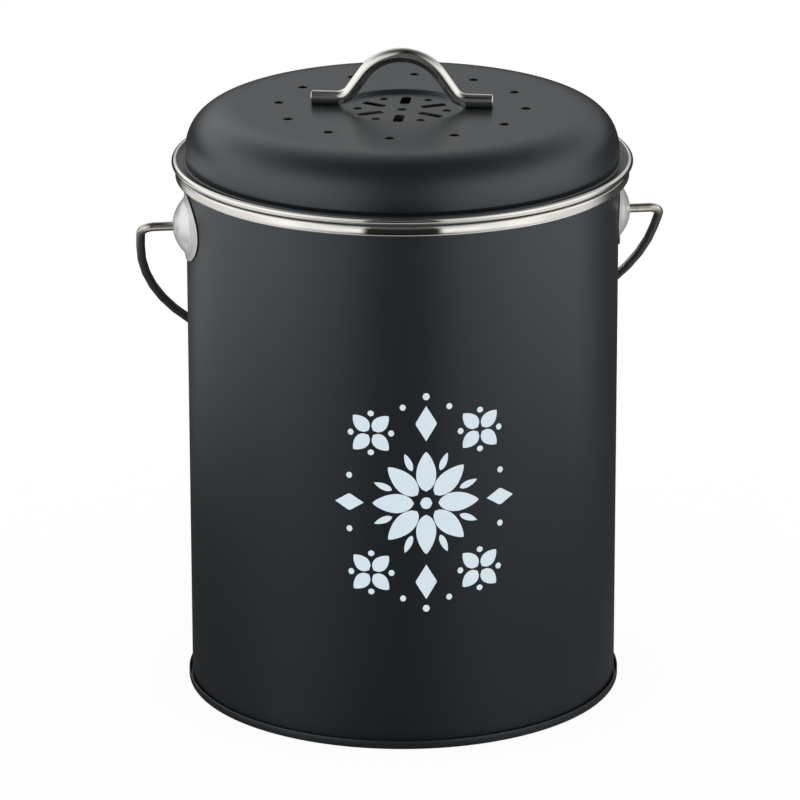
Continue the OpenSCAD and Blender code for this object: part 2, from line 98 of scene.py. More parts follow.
# ears and bail
PIVOT_Z = frame["joints"][0]["pos_m"][2]
EAR_HALF_W = high("ear_right").y
EAR_HALF_H = high("ear_right").z - PIVOT_Z
EAR_DOME_R = 12.25 * MM
EAR_DOME_H = 6 * MM
EAR_SHEET = 0.8 * MM
EAR_BLEND = 0.8 * MM
EAR_LIP = 0.2 * MM
EAR_ROLLED = 0.9  # share of the way from the hole to the edge at which the rolled edge ends
WIRE_R = 1.85 * MM
WIRE_FIT = 0.05 * MM
BAIL_REST = math.radians(45)
BAIL_SIDE = 109.3 * MM
BAIL_REST_GAP = 1.2 * MM
SIDE_LEAN = math.radians(2.5)
SHOULDER_TURN = math.radians(58)
CORNER_BEND = 5 * MM
SHOULDER_BEND = 120 * MM
APEX_BEND = 68 * MM
HEAD_R = 3.5 * MM
HEAD_T = 1.3 * MM
HEAD_EDGE = 0.3 * MM
HEAD_PLAY = 0.9 * MM

# lid
LID_TURN = math.radians(-13.4)
LID_SHEET = 0.6 * MM
LID_TOP = high("lid_shell").z
LID_EDGE_R = high("lid_collar").x
FLANGE_TOP = low("lid_shell").z + LID_SHEET
RING_R = high("lid_trim_ring").x
RING_D = 2.8 * MM
RING_BITE = 1 * MM
RING_C = RING_R - RING_D / 2
RING_IN = RING_C - RING_BITE / 2
RING_Z = low("lid_trim_ring").z + RING_D / 2
DOME_R = RING_IN - 3.7 * MM
COLLAR_BEND = 1.2 * MM
FOOT_FILLET = 2.2 * MM
FOOT_TUCK = 0.6 * MM
FOOT_TUCK_BEND = 0.6 * MM
FOOT_ROUND = 0.8 * MM
FLANGE_DIP = 0.5 * MM
SHOULDER_W = 23 * MM
SHOULDER_POWER = 2.4
RECESS_R = 26.5 * MM
RECESS_SLOPE = 2.4 * MM
RECESS_DEPTH = 1.7 * MM
RECESS_ROUND = 1.5 * MM
VENT_R = 2 * MM
VENT_CIRCLE = 51.4 * MM
VENT_COUNT = 12
SLOT_LEN = 11 * MM
SLOT_W = 4 * MM
SLOT_ROUND = 1.2 * MM
SLOT_IN = 8.9 * MM
SLOT_COUNT = 6
DOT_R = 1.8 * MM
DOT_CIRCLE = 18.6 * MM
HOLE_ROUND = 0.28 * MM
PUNCH_REACH = 1 * MM
PUNCH_CLEAR = 0.01 * MM

# lid handle
ROD_R = 2.95 * MM
HANDLE_LEN = 75.6 * MM
HANDLE_FOOT_IN = 27.2 * MM
HANDLE_FLANK = math.radians(55)
HANDLE_FOOT_BEND = 7 * MM
HANDLE_FLAT = 0.3 * MM
HANDLE_CHAMFER = 0.3 * MM
HANDLE_TOP = high("lid_handle").z

# seal, charcoal pad and liner
SEAL_T = 0.65 * MM
SEAL_W = 6 * MM
SEAL_ROUND = 0.25 * MM
SEAL_R = high("lid_seal").x
PAD_ROUND = 1.4 * MM
LINER_R = 88.0 * MM
LINER_WALL = 1.6 * MM
LINER_TAPER = 5.5 * MM
LINER_ROUND = 7 * MM
LINER_NECK = 4.5 * MM
LINER_NECK_BEND = 6 * MM
LINER_LIP_ROUND = 0.35 * MM
LINER_MOUTH_ROUND = 0.5 * MM

# printed emblem on the front
PRINT_Z = 107 * MM
PRINT_TURN = math.radians(-1.6)
PRINT_T = 0.05 * MM
PRINT_SINK = 0.03 * MM

# how finely round shapes are drawn, and what counts as one point or as a real edge
ROUND_STEPS = 288
PAD_STEPS = 144
EAR_STEPS = 120
ROD_SIDES = 40
BEND_STEP = math.radians(6)
SAME_POINT = 2e-6
ON_AXIS = 1e-7
REAL_EDGE = math.radians(35)
PUNCHED_EDGE = math.radians(50)

# where the camera stands, and the white floor under the object
VIEW_TURN = math.radians(7.6)
VIEW_PITCH = math.radians(18.07)
VIEW_ROLL = -0.0021
VIEW_ASIDE = -0.001157
VIEW_BACK = 2.160
VIEW_HEIGHT = 0.82665
LENS_MM = 242.7
SENSOR_MM = 36
FLOOR_HALF = 6.0
FLOOR_ALBEDO = 0.07


# ---- shader and geometry trees ----


class Socket:
    """One output of a node. Arithmetic on it adds the Math node that does the sum."""

    def __init__(self, graph, out):
        self.graph = graph
        self.out = out

    def of(self, name):
        """Another output of the same node."""
        return Socket(self.graph, self.out.node.outputs[name])

    def math(self, operation, first, second=None):
        """A Math node on one value or two."""
        values = {0: first} if second is None else {0: first, 1: second}
        return self.graph.node("ShaderNodeMath", {"operation": operation}, values)

    def __add__(self, other):
        return self.math("ADD", self, other)

    def __mul__(self, other):
        return self.math("MULTIPLY", self, other)

    def __sub__(self, other):
        return self.math("SUBTRACT", self, other)

    def __rsub__(self, other):
        return self.math("SUBTRACT", other, self)

    def __truediv__(self, other):
        return self.math("DIVIDE", self, other)

    def __rtruediv__(self, other):
        return self.math("DIVIDE", other, self)

    def __pow__(self, other):
        return self.math("POWER", self, other)

    __radd__ = __add__
    __rmul__ = __mul__


class Graph:
    """A node tree that is built one node at a time."""

    def __init__(self, tree):
        self.tree = tree
        tree.nodes.clear()

    def node(self, kind, settings=None, values=None, out=0):
        """Adds a node: its settings first, then its sockets' values or links."""
        made = self.tree.nodes.new(kind)
        for name, value in (settings or {}).items():
            if name == "stops":
                self.set_stops(made.color_ramp, value)
            else:
                setattr(made, name, value)
        for key, value in (values or {}).items():
            if isinstance(value, Socket):
                self.tree.links.new(value.out, made.inputs[key])
            else:
                made.inputs[key].default_value = value
        return Socket(self, made.outputs[out]) if len(made.outputs) else made

    def set_stops(self, ramp, stops):
        """A grey ramp's stops, as (place, level) pairs."""
        ramp.interpolation = "EASE"
        while len(ramp.elements) < len(stops):
            ramp.elements.new(1)
        for element, (place, level) in zip(ramp.elements, stops):
            element.position = place
            element.color = (level, level, level, 1)

    def smooth(self, value, start, end, low_level=0.0, high_level=1.0):
        """Goes softly from one level to the other as the value goes from start to end."""
        return self.node("ShaderNodeMapRange", {"interpolation_type": "SMOOTHSTEP"}, {
            "Value": value, "From Min": start, "From Max": end,
            "To Min": low_level, "To Max": high_level})

    def mix(self, share, first, second):
        """A colour between two others."""
        return self.node("ShaderNodeMix", {"data_type": "RGBA"}, {0: share, 6: first, 7: second}, 2)

    def noise(self, where, size, detail=2.0, roughness=0.5):
        """Noise whose blobs are about as wide as size."""
        return self.node("ShaderNodeTexNoise", {}, {
            "Vector": where, "Scale": 1 / size, "Detail": detail, "Roughness": roughness}, "Fac")

    def bump(self, height, depth):
        """A normal for a surface whose height, from 0 to 1, stands for this depth."""
        return self.node("ShaderNodeBump", {}, {"Strength": 1.0, "Distance": depth, "Height": height})


FINISHES = {}


def finish(name, colour, roughness, metallic=0.0, **sockets):
    """A new material, with its plain values set on the shader. Returns its tree, the place on the
    object, and a function that feeds one of the shader's sockets."""
    made = bpy.data.materials.new(name)
    made.use_nodes = True
    graph = Graph(made.node_tree)
    shader = graph.tree.nodes.new("ShaderNodeBsdfPrincipled")
    output = graph.tree.nodes.new("ShaderNodeOutputMaterial")
    graph.tree.links.new(shader.outputs[0], output.inputs["Surface"])
    shader.inputs["Base Color"].default_value = (*colour, 1)
    shader.inputs["Roughness"].default_value = roughness
    shader.inputs["Metallic"].default_value = metallic
    for socket, value in sockets.items():
        shader.inputs[socket.replace("_", " ")].default_value = value
    made.diffuse_color = (*colour, 1)
    FINISHES[name] = made
    where = graph.node("ShaderNodeTexCoord", {}, {}, "Object")

    def feed(socket, value):
        graph.tree.links.new(value.out, shader.inputs[socket])

    return graph, where, feed


def powder_coat():
    """Fine matt powder: a soft orange peel under a finer grain, a little uneven in sheen."""
    graph, where, feed = finish("powder_black", (0.0065, 0.0073, 0.0084), 0.36, Specular_IOR_Level=1.0,
                                Specular_Tint=(0.82, 0.92, 1.0, 1))
    peel = graph.noise(where, 1.6 * MM, 1.0)
    grain = graph.noise(where, 0.32 * MM, 2.0, 0.6)
    cloud = graph.noise(where, 38 * MM, 2.0)
    feed("Base Color", graph.mix(graph.smooth(grain, 0.35, 0.75),
                                 (0.0056, 0.0064, 0.0075, 1), (0.0084, 0.0093, 0.0105, 1)))
    feed("Roughness", 0.30 + cloud * 0.05 + grain * 0.06)
    feed("Normal", graph.bump(peel * 0.7 + grain * 0.3, 0.022 * MM))


def polished_steel():
    """Bright rolled steel with the faint haze and hairlines of polishing."""
    graph, where, feed = finish("polished_steel", (0.85, 0.835, 0.79), 0.07, 1.0)
    stretched = graph.node("ShaderNodeMapping", {}, {"Vector": where, "Scale": (1, 1, 14)})
    lines = graph.noise(stretched, 4 * MM, 3.0, 0.6)
    haze = graph.noise(where, 16 * MM, 2.0)
    feed("Roughness", 0.035 + haze * 0.035 + lines * 0.035)
    feed("Normal", graph.bump(lines, 0.004 * MM))


def satin_ear():
    """Pressed and tumbled steel: soft sheen, fine upright scratches."""
    graph, where, feed = finish("ear_steel", (0.80, 0.80, 0.81), 0.27, 0.6)
    stretched = graph.node("ShaderNodeMapping", {}, {"Vector": where, "Scale": (3, 3, 0.25)})
    lines = graph.noise(stretched, 1.2 * MM, 3.0, 0.65)
    feed("Roughness", 0.26 + lines * 0.06)
    feed("Normal", graph.bump(lines, 0.002 * MM))


def drawn_wire():
    """Drawn wire: warm, with faint drawing lines and small dull patches."""
    graph, where, feed = finish("wire_steel", (0.62, 0.59, 0.53), 0.2, 1.0)
    patches = graph.noise(where, 5 * MM, 3.0, 0.6)
    specks = graph.noise(where, 0.7 * MM, 2.0, 0.5)
    feed("Base Color", graph.mix(graph.smooth(patches, 0.4, 0.75),
                                 (0.66, 0.63, 0.57, 1), (0.50, 0.47, 0.42, 1)))
    feed("Roughness", 0.13 + patches * 0.12 + specks * 0.05)
    feed("Normal", graph.bump(patches * 0.6 + specks * 0.4, 0.02 * MM))


def moulded_plastic(slot, colour, roughness, texture, depth):
    """Moulded plastic with the fine spark-eroded texture of its mould."""
    graph, where, feed = finish(slot, colour, roughness)
    grain = graph.noise(where, texture, 2.0, 0.6)
    cloud = graph.noise(where, 30 * MM, 2.0)
    pale = tuple(c * 1.18 for c in colour)
    feed("Base Color", graph.mix(graph.smooth(cloud, 0.3, 0.7), (*colour, 1), (*pale, 1)))
    feed("Roughness", roughness - 0.05 + grain * 0.12)
    feed("Normal", graph.bump(grain, depth))


def silicone():
    """Dark silicone rubber with a dusty sheen."""
    graph, where, feed = finish("silicone", (0.045, 0.047, 0.05), 0.6)
    dust = graph.noise(where, 0.5 * MM, 2.0)
    feed("Roughness", 0.52 + dust * 0.16)
    feed("Normal", graph.bump(dust, 0.01 * MM))


def charcoal_felt():
    """Needled felt full of charcoal: matted fibres with darker grains between them."""
    graph, where, feed = finish("charcoal_felt", (0.028, 0.028, 0.027), 0.95)
    fibres = graph.noise(where, 0.9 * MM, 5.0, 0.75)
    grain_size = 1.4 * MM
    grains = graph.node("ShaderNodeTexVoronoi", {}, {
        "Vector": where, "Scale": 1 / grain_size}, "Distance")
    feed("Base Color", graph.mix(graph.smooth(fibres, 0.35, 0.7),
                                 (0.014, 0.014, 0.014, 1), (0.05, 0.05, 0.047, 1)))
    feed("Normal", graph.bump(fibres + grains * 0.4, 0.35 * MM))


def print_ink():
    """Pad-printed ink: pale, flat, with the powder's peel showing through."""
    graph, where, feed = finish("print_ink", (0.68, 0.78, 0.84), 0.5)
    peel = graph.noise(where, 1.6 * MM, 1.0)
    wear = graph.noise(where, 6 * MM, 3.0)
    feed("Base Color", graph.mix(graph.smooth(wear, 0.3, 0.8),
                                 (0.69, 0.79, 0.85, 1), (0.65, 0.755, 0.82, 1)))
    feed("Roughness", 0.46 + peel * 0.08)
    feed("Normal", graph.bump(peel, 0.015 * MM))


# ---- outlines ----


def bend(corners, closed=False):
    """Points along straight runs through the corners, which are (x, y, radius), each rounded to its
    radius."""
    path = []
    count = len(corners)
    for i, (x, y, radius) in enumerate(corners):
        here = Vector((x, y))
        if radius <= 0 or (not closed and i in (0, count - 1)):
            path.append(here)
            continue
        back = (Vector(corners[i - 1][:2]) - here).normalized()
        ahead = (Vector(corners[(i + 1) % count][:2]) - here).normalized()
        half = back.angle(ahead) / 2
        centre = here + (back + ahead).normalized() * radius / math.sin(half)
        spoke = here + back * radius / math.tan(half) - centre
        turn = math.copysign(math.pi - 2 * half, ahead.cross(back))
        steps = max(2, math.ceil(abs(turn) / BEND_STEP))
        path += [centre + rotated(spoke, turn * k / steps) for k in range(steps + 1)]
    return path


def rotated(vector, angle):
    """A flat vector turned by an angle."""
    return Matrix.Rotation(angle, 2) @ vector


def sheet(path, left, right=0.0):
    """The closed outline of a sheet that lies left and right of its path, with rounded edges."""
    normals = []
    for i in range(len(path)):
        before = path[i] - path[i - 1] if i else path[1] - path[0]
        after = path[i + 1] - path[i] if i + 1 < len(path) else before
        way = before.normalized() + after.normalized()
        normal = Vector((-way.y, way.x)).normalized()
        normals.append(normal / max(0.5, normal.dot(Vector((-before.y, before.x)).normalized())))
    side_a = [p + n * left for p, n in zip(path, normals)]
    side_b = [p - n * right for p, n in zip(path, normals)]
    edges = []
    for first, second in ((side_a[-1], side_b[-1]), (side_b[0], side_a[0])):
        middle = (first + second) / 2
        spoke = first - middle
        on_axis = first.x < ON_AXIS and second.x < ON_AXIS
        edges.append([] if on_axis else [middle + rotated(spoke, -math.pi * k / 4) for k in (1, 2, 3)])
    return side_a + edges[0] + side_b[::-1] + edges[1]


# ---- pieces ----


def in_scene(name, data):
    """A new object in the scene for a mesh or a camera."""
    made = bpy.data.objects.new(name, data)
    bpy.context.scene.collection.objects.link(made)
    return made


def piece(name, mesh, coat, body, *nodes):
    """Puts a finished mesh in the scene as a piece of the object, in its finish."""
    mesh.name = name
    made = in_scene(name, mesh)
    mesh.materials.clear()
    mesh.materials.append(FINISHES[coat])
    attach(made, body)
    if nodes:
        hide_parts(*nodes)
    return made


def mesh_of(build):
    """A bmesh made into a mesh: doubles merged, faces outward, smooth but for its real edges."""
    bmesh.ops.remove_doubles(build, verts=build.verts, dist=SAME_POINT)
    bmesh.ops.recalc_face_normals(build, faces=build.faces)
    made = bpy.data.meshes.new("mesh")
    build.to_mesh(made)
    build.free()
    made.polygons.foreach_set("use_smooth", [True] * len(made.polygons))
    made.set_sharp_from_angle(angle=REAL_EDGE)
    return made


def lathe(outline, steps=ROUND_STEPS):
    """An outline of (radius, height) points turned about the Z axis. One that starts and ends on the
    axis is closed there, and any other is a closed loop."""
    build = bmesh.new()
    rings = []
    for r, z in outline:
        if r < ON_AXIS:
            rings.append([build.verts.new((0, 0, z))] * steps)
        else:
            rings.append([build.verts.new((r * math.cos(a), r * math.sin(a), z))
                          for a in (2 * math.pi * k / steps for k in range(steps))])
    on_axis = outline[0][0] < ON_AXIS and outline[-1][0] < ON_AXIS
    pairs = list(zip(rings, rings[1:])) + ([] if on_axis else [(rings[-1], rings[0])])
    for first, second in pairs:
        for k in range(steps):
            n = (k + 1) % steps
            corners = []
            for vert in (first[k], first[n], second[n], second[k]):
                if vert not in corners:
                    corners.append(vert)
            if len(corners) > 2:
                build.faces.new(corners)
    return mesh_of(build)


def skin(build, loops):
    """Four-sided faces from each closed loop of points to the next."""
    for first, second in zip(loops, loops[1:]):
        for k in range(len(first)):
            n = (k + 1) % len(first)
            build.faces.new((first[k], first[n], second[n], second[k]))


def rod(path, radii, place):
    """A round rod along a flat centre line, whose points are moved to their place in the end."""
    build = bmesh.new()
    rings = []
    for i, (point, radius) in enumerate(zip(path, radii)):
        way = (path[min(i + 1, len(path) - 1)] - path[max(i - 1, 0)]).normalized()
        across = Vector((-way.y, way.x, 0))
        spokes = [across * math.cos(a) + Vector((0, 0, math.sin(a)))
                  for a in (2 * math.pi * k / ROD_SIDES for k in range(ROD_SIDES))]
        rings.append([build.verts.new(place(point.to_3d() + spoke * radius)) for spoke in spokes])
    skin(build, rings)
    build.faces.new(rings[0])
    build.faces.new(rings[-1])
    return mesh_of(build)


def rod_ends(path, radius, chamfer):
    """Adds the small chamfers at both ends of a rod's centre line. Returns the line and its radii."""
    head = (path[1] - path[0]).normalized() * chamfer
    tail = (path[-2] - path[-1]).normalized() * chamfer
    line = [path[0], path[0] + head] + path[1:-1] + [path[-1] + tail, path[-1]]
    return line, [radius - chamfer] + [radius] * (len(line) - 2) + [radius - chamfer]


# ---- copies set out on a circle ----


def circle_tree():
    """Geometry nodes: copies of a shape on a circle about Z, each turned to face outward."""
    tree = bpy.data.node_groups.new("set_out_on_circle", "GeometryNodeTree")
    graph = Graph(tree)
    for name, kind in (("Geometry", "Geometry"), ("Shape", "Object"), ("Count", "Int"),
                       ("Circle radius", "Float"), ("First angle", "Float"), ("Finish", "Material")):
        tree.interface.new_socket(name, in_out="INPUT", socket_type="NodeSocket" + kind)
    tree.interface.new_socket("Geometry", in_out="OUTPUT", socket_type="NodeSocketGeometry")
    given = graph.node("NodeGroupInput", {}, {}, "Count")
    angle = given.of("First angle") + graph.node("GeometryNodeInputIndex") * (2 * math.pi / given)
    x = graph.node("ShaderNodeMath", {"operation": "COSINE"}, {0: angle}) * given.of("Circle radius")
    y = graph.node("ShaderNodeMath", {"operation": "SINE"}, {0: angle}) * given.of("Circle radius")
    points = graph.node("GeometryNodePoints", {}, {
        "Count": given, "Position": graph.node("ShaderNodeCombineXYZ", {}, {"X": x, "Y": y})})
    shape = graph.node("GeometryNodeObjectInfo", {}, {"Object": given.of("Shape")}, "Geometry")
    copies = graph.node("GeometryNodeInstanceOnPoints", {}, {
        "Points": points, "Instance": shape,
        "Rotation": graph.node("ShaderNodeCombineXYZ", {}, {"Z": angle})})
    real = graph.node("GeometryNodeRealizeInstances", {}, {"Geometry": copies})
    finished = graph.node("GeometryNodeSetMaterial", {}, {
        "Geometry": real, "Material": given.of("Finish")})
    graph.node("NodeGroupOutput", {}, {"Geometry": finished})
    return tree


CIRCLE_TREE = circle_tree()


def plain_mesh(obj):
    """The object's evaluated shape as a mesh of its own."""
    bpy.context.view_layer.update()
    return bpy.data.meshes.new_from_object(obj.evaluated_get(bpy.context.evaluated_depsgraph_get()))


def on_circle(shape_mesh, slot, count, radius, first_angle):
    """The mesh of a shape's copies, set out on a circle."""
    shape = in_scene("shape", shape_mesh)
    holder = in_scene("copies", bpy.data.meshes.new("copies"))
    modifier = holder.modifiers.new("set_out", "NODES")
    modifier.node_group = CIRCLE_TREE
    values = {"Shape": shape, "Count": count, "Circle radius": radius,
              "First angle": first_angle, "Finish": FINISHES[slot]}
    for item in CIRCLE_TREE.interface.items_tree:
        if item.in_out == "INPUT" and item.name in values:
            modifier[item.identifier] = values[item.name]
    made = plain_mesh(holder)
    for helper in (holder, shape):
        bpy.data.objects.remove(helper)
    return made


def joined(meshes):
    """Several meshes in one bmesh."""
    build = bmesh.new()
    for mesh in meshes:
        build.from_mesh(mesh)
    return build


# ---- body ----


def body_wall():
    """The wall, rolled outward into a hem at its top, with the lapped seam down its back."""
    centre = Vector((BODY_R - SHEET / 2 + HEM_R, BAND_TOP - BAND_SHEET - HEM_R))
    outer = [centre + rotated(Vector((-HEM_R, 0)), -math.radians(a)) for a in range(24, 301, 12)]
    inner_r = HEM_R - HEM_SHEET
    inner = [centre + rotated(Vector((-inner_r, 0)), -math.radians(a)) for a in range(300, 11, -12)]
    outline = [Vector((BODY_IN_R, PAN_SHEET)), Vector((BODY_IN_R, centre.y))] + outer + inner
    outline += [Vector((BODY_R, centre.y - 0.8 * HEM_R)), Vector((BODY_R, PAN_SHEET))]
    build = joined([lathe(outline)])
    add_seam(build)
    made = bpy.data.meshes.new("body_wall")
    build.to_mesh(made)
    build.free()
    made.set_sharp_from_angle(angle=REAL_EDGE)
    piece("body_wall", made, "powder_black", "body", "body_shell")


def add_seam(build):
    """The lap down the back, with a row of spot welds pressed into it."""
    half_turn = SEAM_W / 2 / BODY_R
    z_low = BEAD_H
    z_high = BAND_TOP - BAND_SHEET - 2 * HEM_R - SEAM_GAP
    columns, rows = 25, 8 * WELD_COUNT + 1
    pitch = (z_high - z_low) / WELD_COUNT
    grid = []
    for row in range(rows):
        z = z_low + (z_high - z_low) * row / (rows - 1)
        line = []
        for column in range(columns):
            share = 2 * column / (columns - 1) - 1
            angle = math.pi / 2 + half_turn * share
            edge = min(1.0, (1 - abs(share)) / SEAM_EDGE)
            proud = SEAM_T * math.sqrt(max(0.0, 1 - (1 - edge) ** 2))
            to_weld = math.hypot(share * SEAM_W / 2, (z - z_low) % pitch - pitch / 2)
            dimple = WELD_DEPTH * math.exp(-(to_weld / WELD_R) ** 2)
            r = BODY_R + proud - dimple
            line.append(build.verts.new((r * math.cos(angle), r * math.sin(angle), z)))
        grid.append(line)
    # the strip is closed behind by two rows of points inside the wall
    back = []
    for line in grid:
        sunk = []
        for vert in (line[0], line[-1]):
            flat = Vector((vert.co.x, vert.co.y, 0)).normalized() * (BODY_R - SHEET / 2)
            sunk.append(build.verts.new((flat.x, flat.y, vert.co.z)))
        back.append(sunk)
    faces = []
    for here, above in zip(grid, grid[1:]):
        for k in range(columns - 1):
            faces.append(build.faces.new((here[k], above[k], above[k + 1], here[k + 1])))
    for row in range(rows - 1):
        (left, right), (left_up, right_up) = back[row], back[row + 1]
        faces.append(build.faces.new((grid[row][0], left, left_up, grid[row + 1][0])))
        faces.append(build.faces.new((grid[row][-1], grid[row + 1][-1], right_up, right)))
        faces.append(build.faces.new((left, right, right_up, left_up)))
    faces.append(build.faces.new([back[0][1], back[0][0]] + grid[0]))
    faces.append(build.faces.new([back[-1][0], back[-1][1]] + grid[-1][::-1]))
    bmesh.ops.recalc_face_normals(build, faces=faces)
    for face in faces:
        face.smooth = True


def foot_pan():
    """The base sheet: a floor with a pressed step, let into the wall and turned up round its foot."""
    half = PAN_SHEET / 2
    low_z = PAN_FLOOR_Z - half
    high_z = low_z + PAN_STEP
    pan_r = BODY_IN_R - half
    foot_r = high("base_pan").x - half
    path = bend([
        (0, high_z, 0), (PAN_STEP_R - PAN_STEP, high_z, PAN_STEP_BEND),
        (PAN_STEP_R, low_z, PAN_STEP_BEND), (pan_r, low_z, PAN_BEND), (pan_r, half, half),
        (foot_r, half, BEAD_ROUND), (foot_r, BEAD_H, 0)])
    piece("foot_pan", lathe(sheet(path, half, half)), "powder_black", "body", "base_pan")


def rim_channel():
    """The bright channel that closes over the hem, with its lip turned in underneath."""
    half = BAND_SHEET / 2
    leg_r = BODY_IN_R - half
    outer = BAND_R - half
    top_z = BAND_TOP - half
    lip_z = BAND_TOP - BAND_H + half
    round_mid = BAND_ROUND - half
    path = bend([
        (leg_r, BAND_LEG_Z, 0), (leg_r, top_z, BAND_LEG_BEND), (outer, top_z, round_mid),
        (outer, lip_z, round_mid), (outer - BAND_ROUND - BAND_LIP, lip_z, 0)])
    piece("rim_channel", lathe(sheet(path, half, half)), "polished_steel", "body", "rim_band")


def ear(name, side, node):
    """A pressed dome, holed for the wire, with an oval flange that follows the wall. The flange's
    edge is rolled clear of the wall."""
    ball_r = (EAR_DOME_R ** 2 + EAR_DOME_H ** 2) / (2 * EAR_DOME_H)
    ball_x = BODY_R + EAR_DOME_H - ball_r

    def blended(first, second):
        return (first + second + math.hypot(first - second, EAR_BLEND)) / 2

    def ball(r, rho):
        return ball_x + math.sqrt(max(0.0, r ** 2 - rho ** 2))

    def outer_x(rho, y):
        return blended(ball(ball_r, rho), wall_x(y) + EAR_SHEET)

    def inner_x(rho, y):
        return blended(ball(ball_r - EAR_SHEET, rho), wall_x(y) - EAR_BLEND / 2)

    def wall_x(y):
        return math.sqrt(BODY_R ** 2 - y ** 2)

    hole = WIRE_R + WIRE_FIT
    lip = EAR_LIP
    # each ring: its share of the way from the hole to the oval edge, what is added to that, its height
    shares = [k / 44 for k in range(45)]
    rings = [(0, -lip, lambda rho, y: outer_x(rho, y) - lip)]
    rings += [(share, 0, outer_x) for share in shares]
    rings += [(1, lip * math.sin(a), lambda rho, y, a=a: wall_x(y) + EAR_SHEET - lip * (1 - math.cos(a)))
              for a in (math.pi * k / 8 for k in range(1, 8))]
    rings += [(share, 0, lambda rho, y: wall_x(y) + EAR_SHEET - 2 * lip) for share in (1, EAR_ROLLED)]
    rings += [(share, 0, inner_x) for share in shares[::-1] if share < EAR_ROLLED]
    rings += [(0, -lip, inner_x)]
    build = bmesh.new()
    loops = []
    for share, out, height in rings:
        loop = []
        for k in range(EAR_STEPS):
            angle = 2 * math.pi * k / EAR_STEPS
            edge = 1 / math.hypot(math.cos(angle) / EAR_HALF_W, math.sin(angle) / EAR_HALF_H)
            rho = hole + lip + (edge - hole - 2 * lip) * share + out
            y = rho * math.cos(angle)
            loop.append(build.verts.new((side * height(rho, y), y, PIVOT_Z + rho * math.sin(angle))))
        loops.append(loop)
    skin(build, loops + loops[:1])
    piece(name, mesh_of(build), "ear_steel", "body", node)


def bail_wire():
    """The wire bail: upset heads in the ears, tight corners, long shoulders and a rounded middle."""
    tilt = SIDE_LEAN + SHOULDER_TURN
    reach = (BODY_R + WIRE_R + BAIL_REST_GAP) / math.cos(BAIL_REST)
    top = Vector((0, reach - APEX_BEND + APEX_BEND / math.sin(tilt)))
    side_way = Vector((-math.sin(SIDE_LEAN), math.cos(SIDE_LEAN)))
    top_way = Vector((math.sin(tilt), -math.cos(tilt)))
    gap = Vector((BAIL_SIDE, 0)) - top
    run = (gap.x * side_way.y - gap.y * side_way.x) / (top_way.x * side_way.y - top_way.y * side_way.x)
    shoulder = top + top_way * run
    head = BODY_R + EAR_DOME_H - EAR_SHEET - HEAD_T - HEAD_PLAY
    half = [(head, 0, 0), (BAIL_SIDE, 0, CORNER_BEND), (shoulder.x, shoulder.y, SHOULDER_BEND)]
    path = bend(half + [(top.x, top.y, APEX_BEND)] + [(-x, y, r) for x, y, r in half[::-1]])
    step = Vector((HEAD_T, 0))
    edge = Vector((HEAD_EDGE, 0))
    start = [path[0], path[0] + edge, path[0] + step - edge, path[0] + step, path[0] + step]
    end = [Vector((-p.x, p.y)) for p in start[::-1]]
    radii = [HEAD_R - HEAD_EDGE, HEAD_R, HEAD_R, HEAD_R - HEAD_EDGE, WIRE_R]
    line = start + path[1:-1] + end
    sizes = radii + [WIRE_R] * (len(path) - 2) + radii[::-1]
    fallen = Matrix.Translation((0, 0, PIVOT_Z)) @ Matrix.Rotation(-BAIL_REST, 4, "X")
    piece("bail_wire", rod(line, sizes, lambda point: fallen @ point), "wire_steel", "bail", "bail")


# ---- lid ----


def lid_outline():
    """The pressed lid from its middle to its edge: recess, flat top, shoulder, foot and flange."""
    recess_z = LID_TOP - RECESS_DEPTH
    foot_z = FLANGE_TOP + FOOT_FILLET
    shoulder_r = DOME_R - SHOULDER_W
    path = bend([
        (0, recess_z, 0), (RECESS_R - RECESS_SLOPE, recess_z, RECESS_ROUND),
        (RECESS_R, LID_TOP, RECESS_ROUND), (shoulder_r, LID_TOP, 0)])
    for k in range(1, 46):
        a = math.radians(90 - 2 * k)
        path.append(Vector((shoulder_r + SHOULDER_W * math.cos(a) ** (2 / SHOULDER_POWER),
                            foot_z + (LID_TOP - foot_z) * math.sin(a) ** (2 / SHOULDER_POWER))))
    flange = FLANGE_TOP - FLANGE_DIP
    straight = 0.2 * MM
    foot = bend([(DOME_R, foot_z + straight, 0), (DOME_R, foot_z - straight, FOOT_TUCK_BEND),
                 (DOME_R - FOOT_TUCK, flange, FOOT_ROUND), (LID_EDGE_R, flange, 0)])
    return path + foot[1:]


def punch(half_x, half_y, corner, top):
    """A cutter for a punched hole. It flares at both faces of the sheet, so that the hole's edges are
    rounded. The hole is a rounded rectangle about the origin, or round."""
    build = bmesh.new()
    arc = [math.radians(a) for a in (0, 30, 60, 90)]
    under = top - LID_SHEET
    flare = [(HOLE_ROUND * (1 - math.sin(a)), PUNCH_CLEAR - HOLE_ROUND * (1 - math.cos(a))) for a in arc]
    levels = [(HOLE_ROUND, top + PUNCH_REACH)]
    levels += [(grow, top + z) for grow, z in flare]
    levels += [(grow, under - z) for grow, z in flare[::-1]]
    levels += [(HOLE_ROUND, under - PUNCH_REACH)]
    loops = []
    for grow, z in levels:
        loop = []
        for quarter in range(4):
            middle = math.pi / 2 * quarter + math.pi / 4
            x = math.copysign(half_x - corner, math.cos(middle))
            y = math.copysign(half_y - corner, math.sin(middle))
            for k in range(9):
                a = math.pi / 2 * (quarter + k / 8)
                loop.append(build.verts.new((x + (corner + grow) * math.cos(a),
                                             y + (corner + grow) * math.sin(a), z)))
        loops.append(loop)
    skin(build, loops)
    build.faces.new(loops[0])
    build.faces.new(loops[-1])
    return mesh_of(build)


